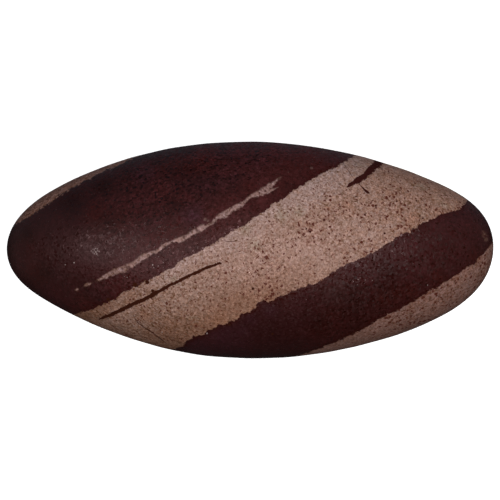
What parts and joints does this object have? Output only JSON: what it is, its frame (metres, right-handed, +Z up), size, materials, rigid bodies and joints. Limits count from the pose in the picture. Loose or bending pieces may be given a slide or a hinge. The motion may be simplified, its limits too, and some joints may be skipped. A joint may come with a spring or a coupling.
{
  "type": "shiva lingam stone",
  "caption": "Smooth lens-shaped river stone with rounded tips and slanting dark and tan bands, lying on a small flat spot on its belly.",
  "frame": {"origin": "on the resting plane, under the middle of the stone's bounding box, inside the small flat spot on its belly", "axes": "+X along the stone from its left tip to its right tip, +Y across it, +Z up from the surface it lies on"},
  "size_m": [0.102, 0.0456, 0.0436],
  "materials": {
    "banded_sandstone": "hand-rubbed satin, dark maroon bands through speckled tan rock"
  },
  "bodies": {
    "root": {"stone": "banded_sandstone"}
  },
  "joints": []
}
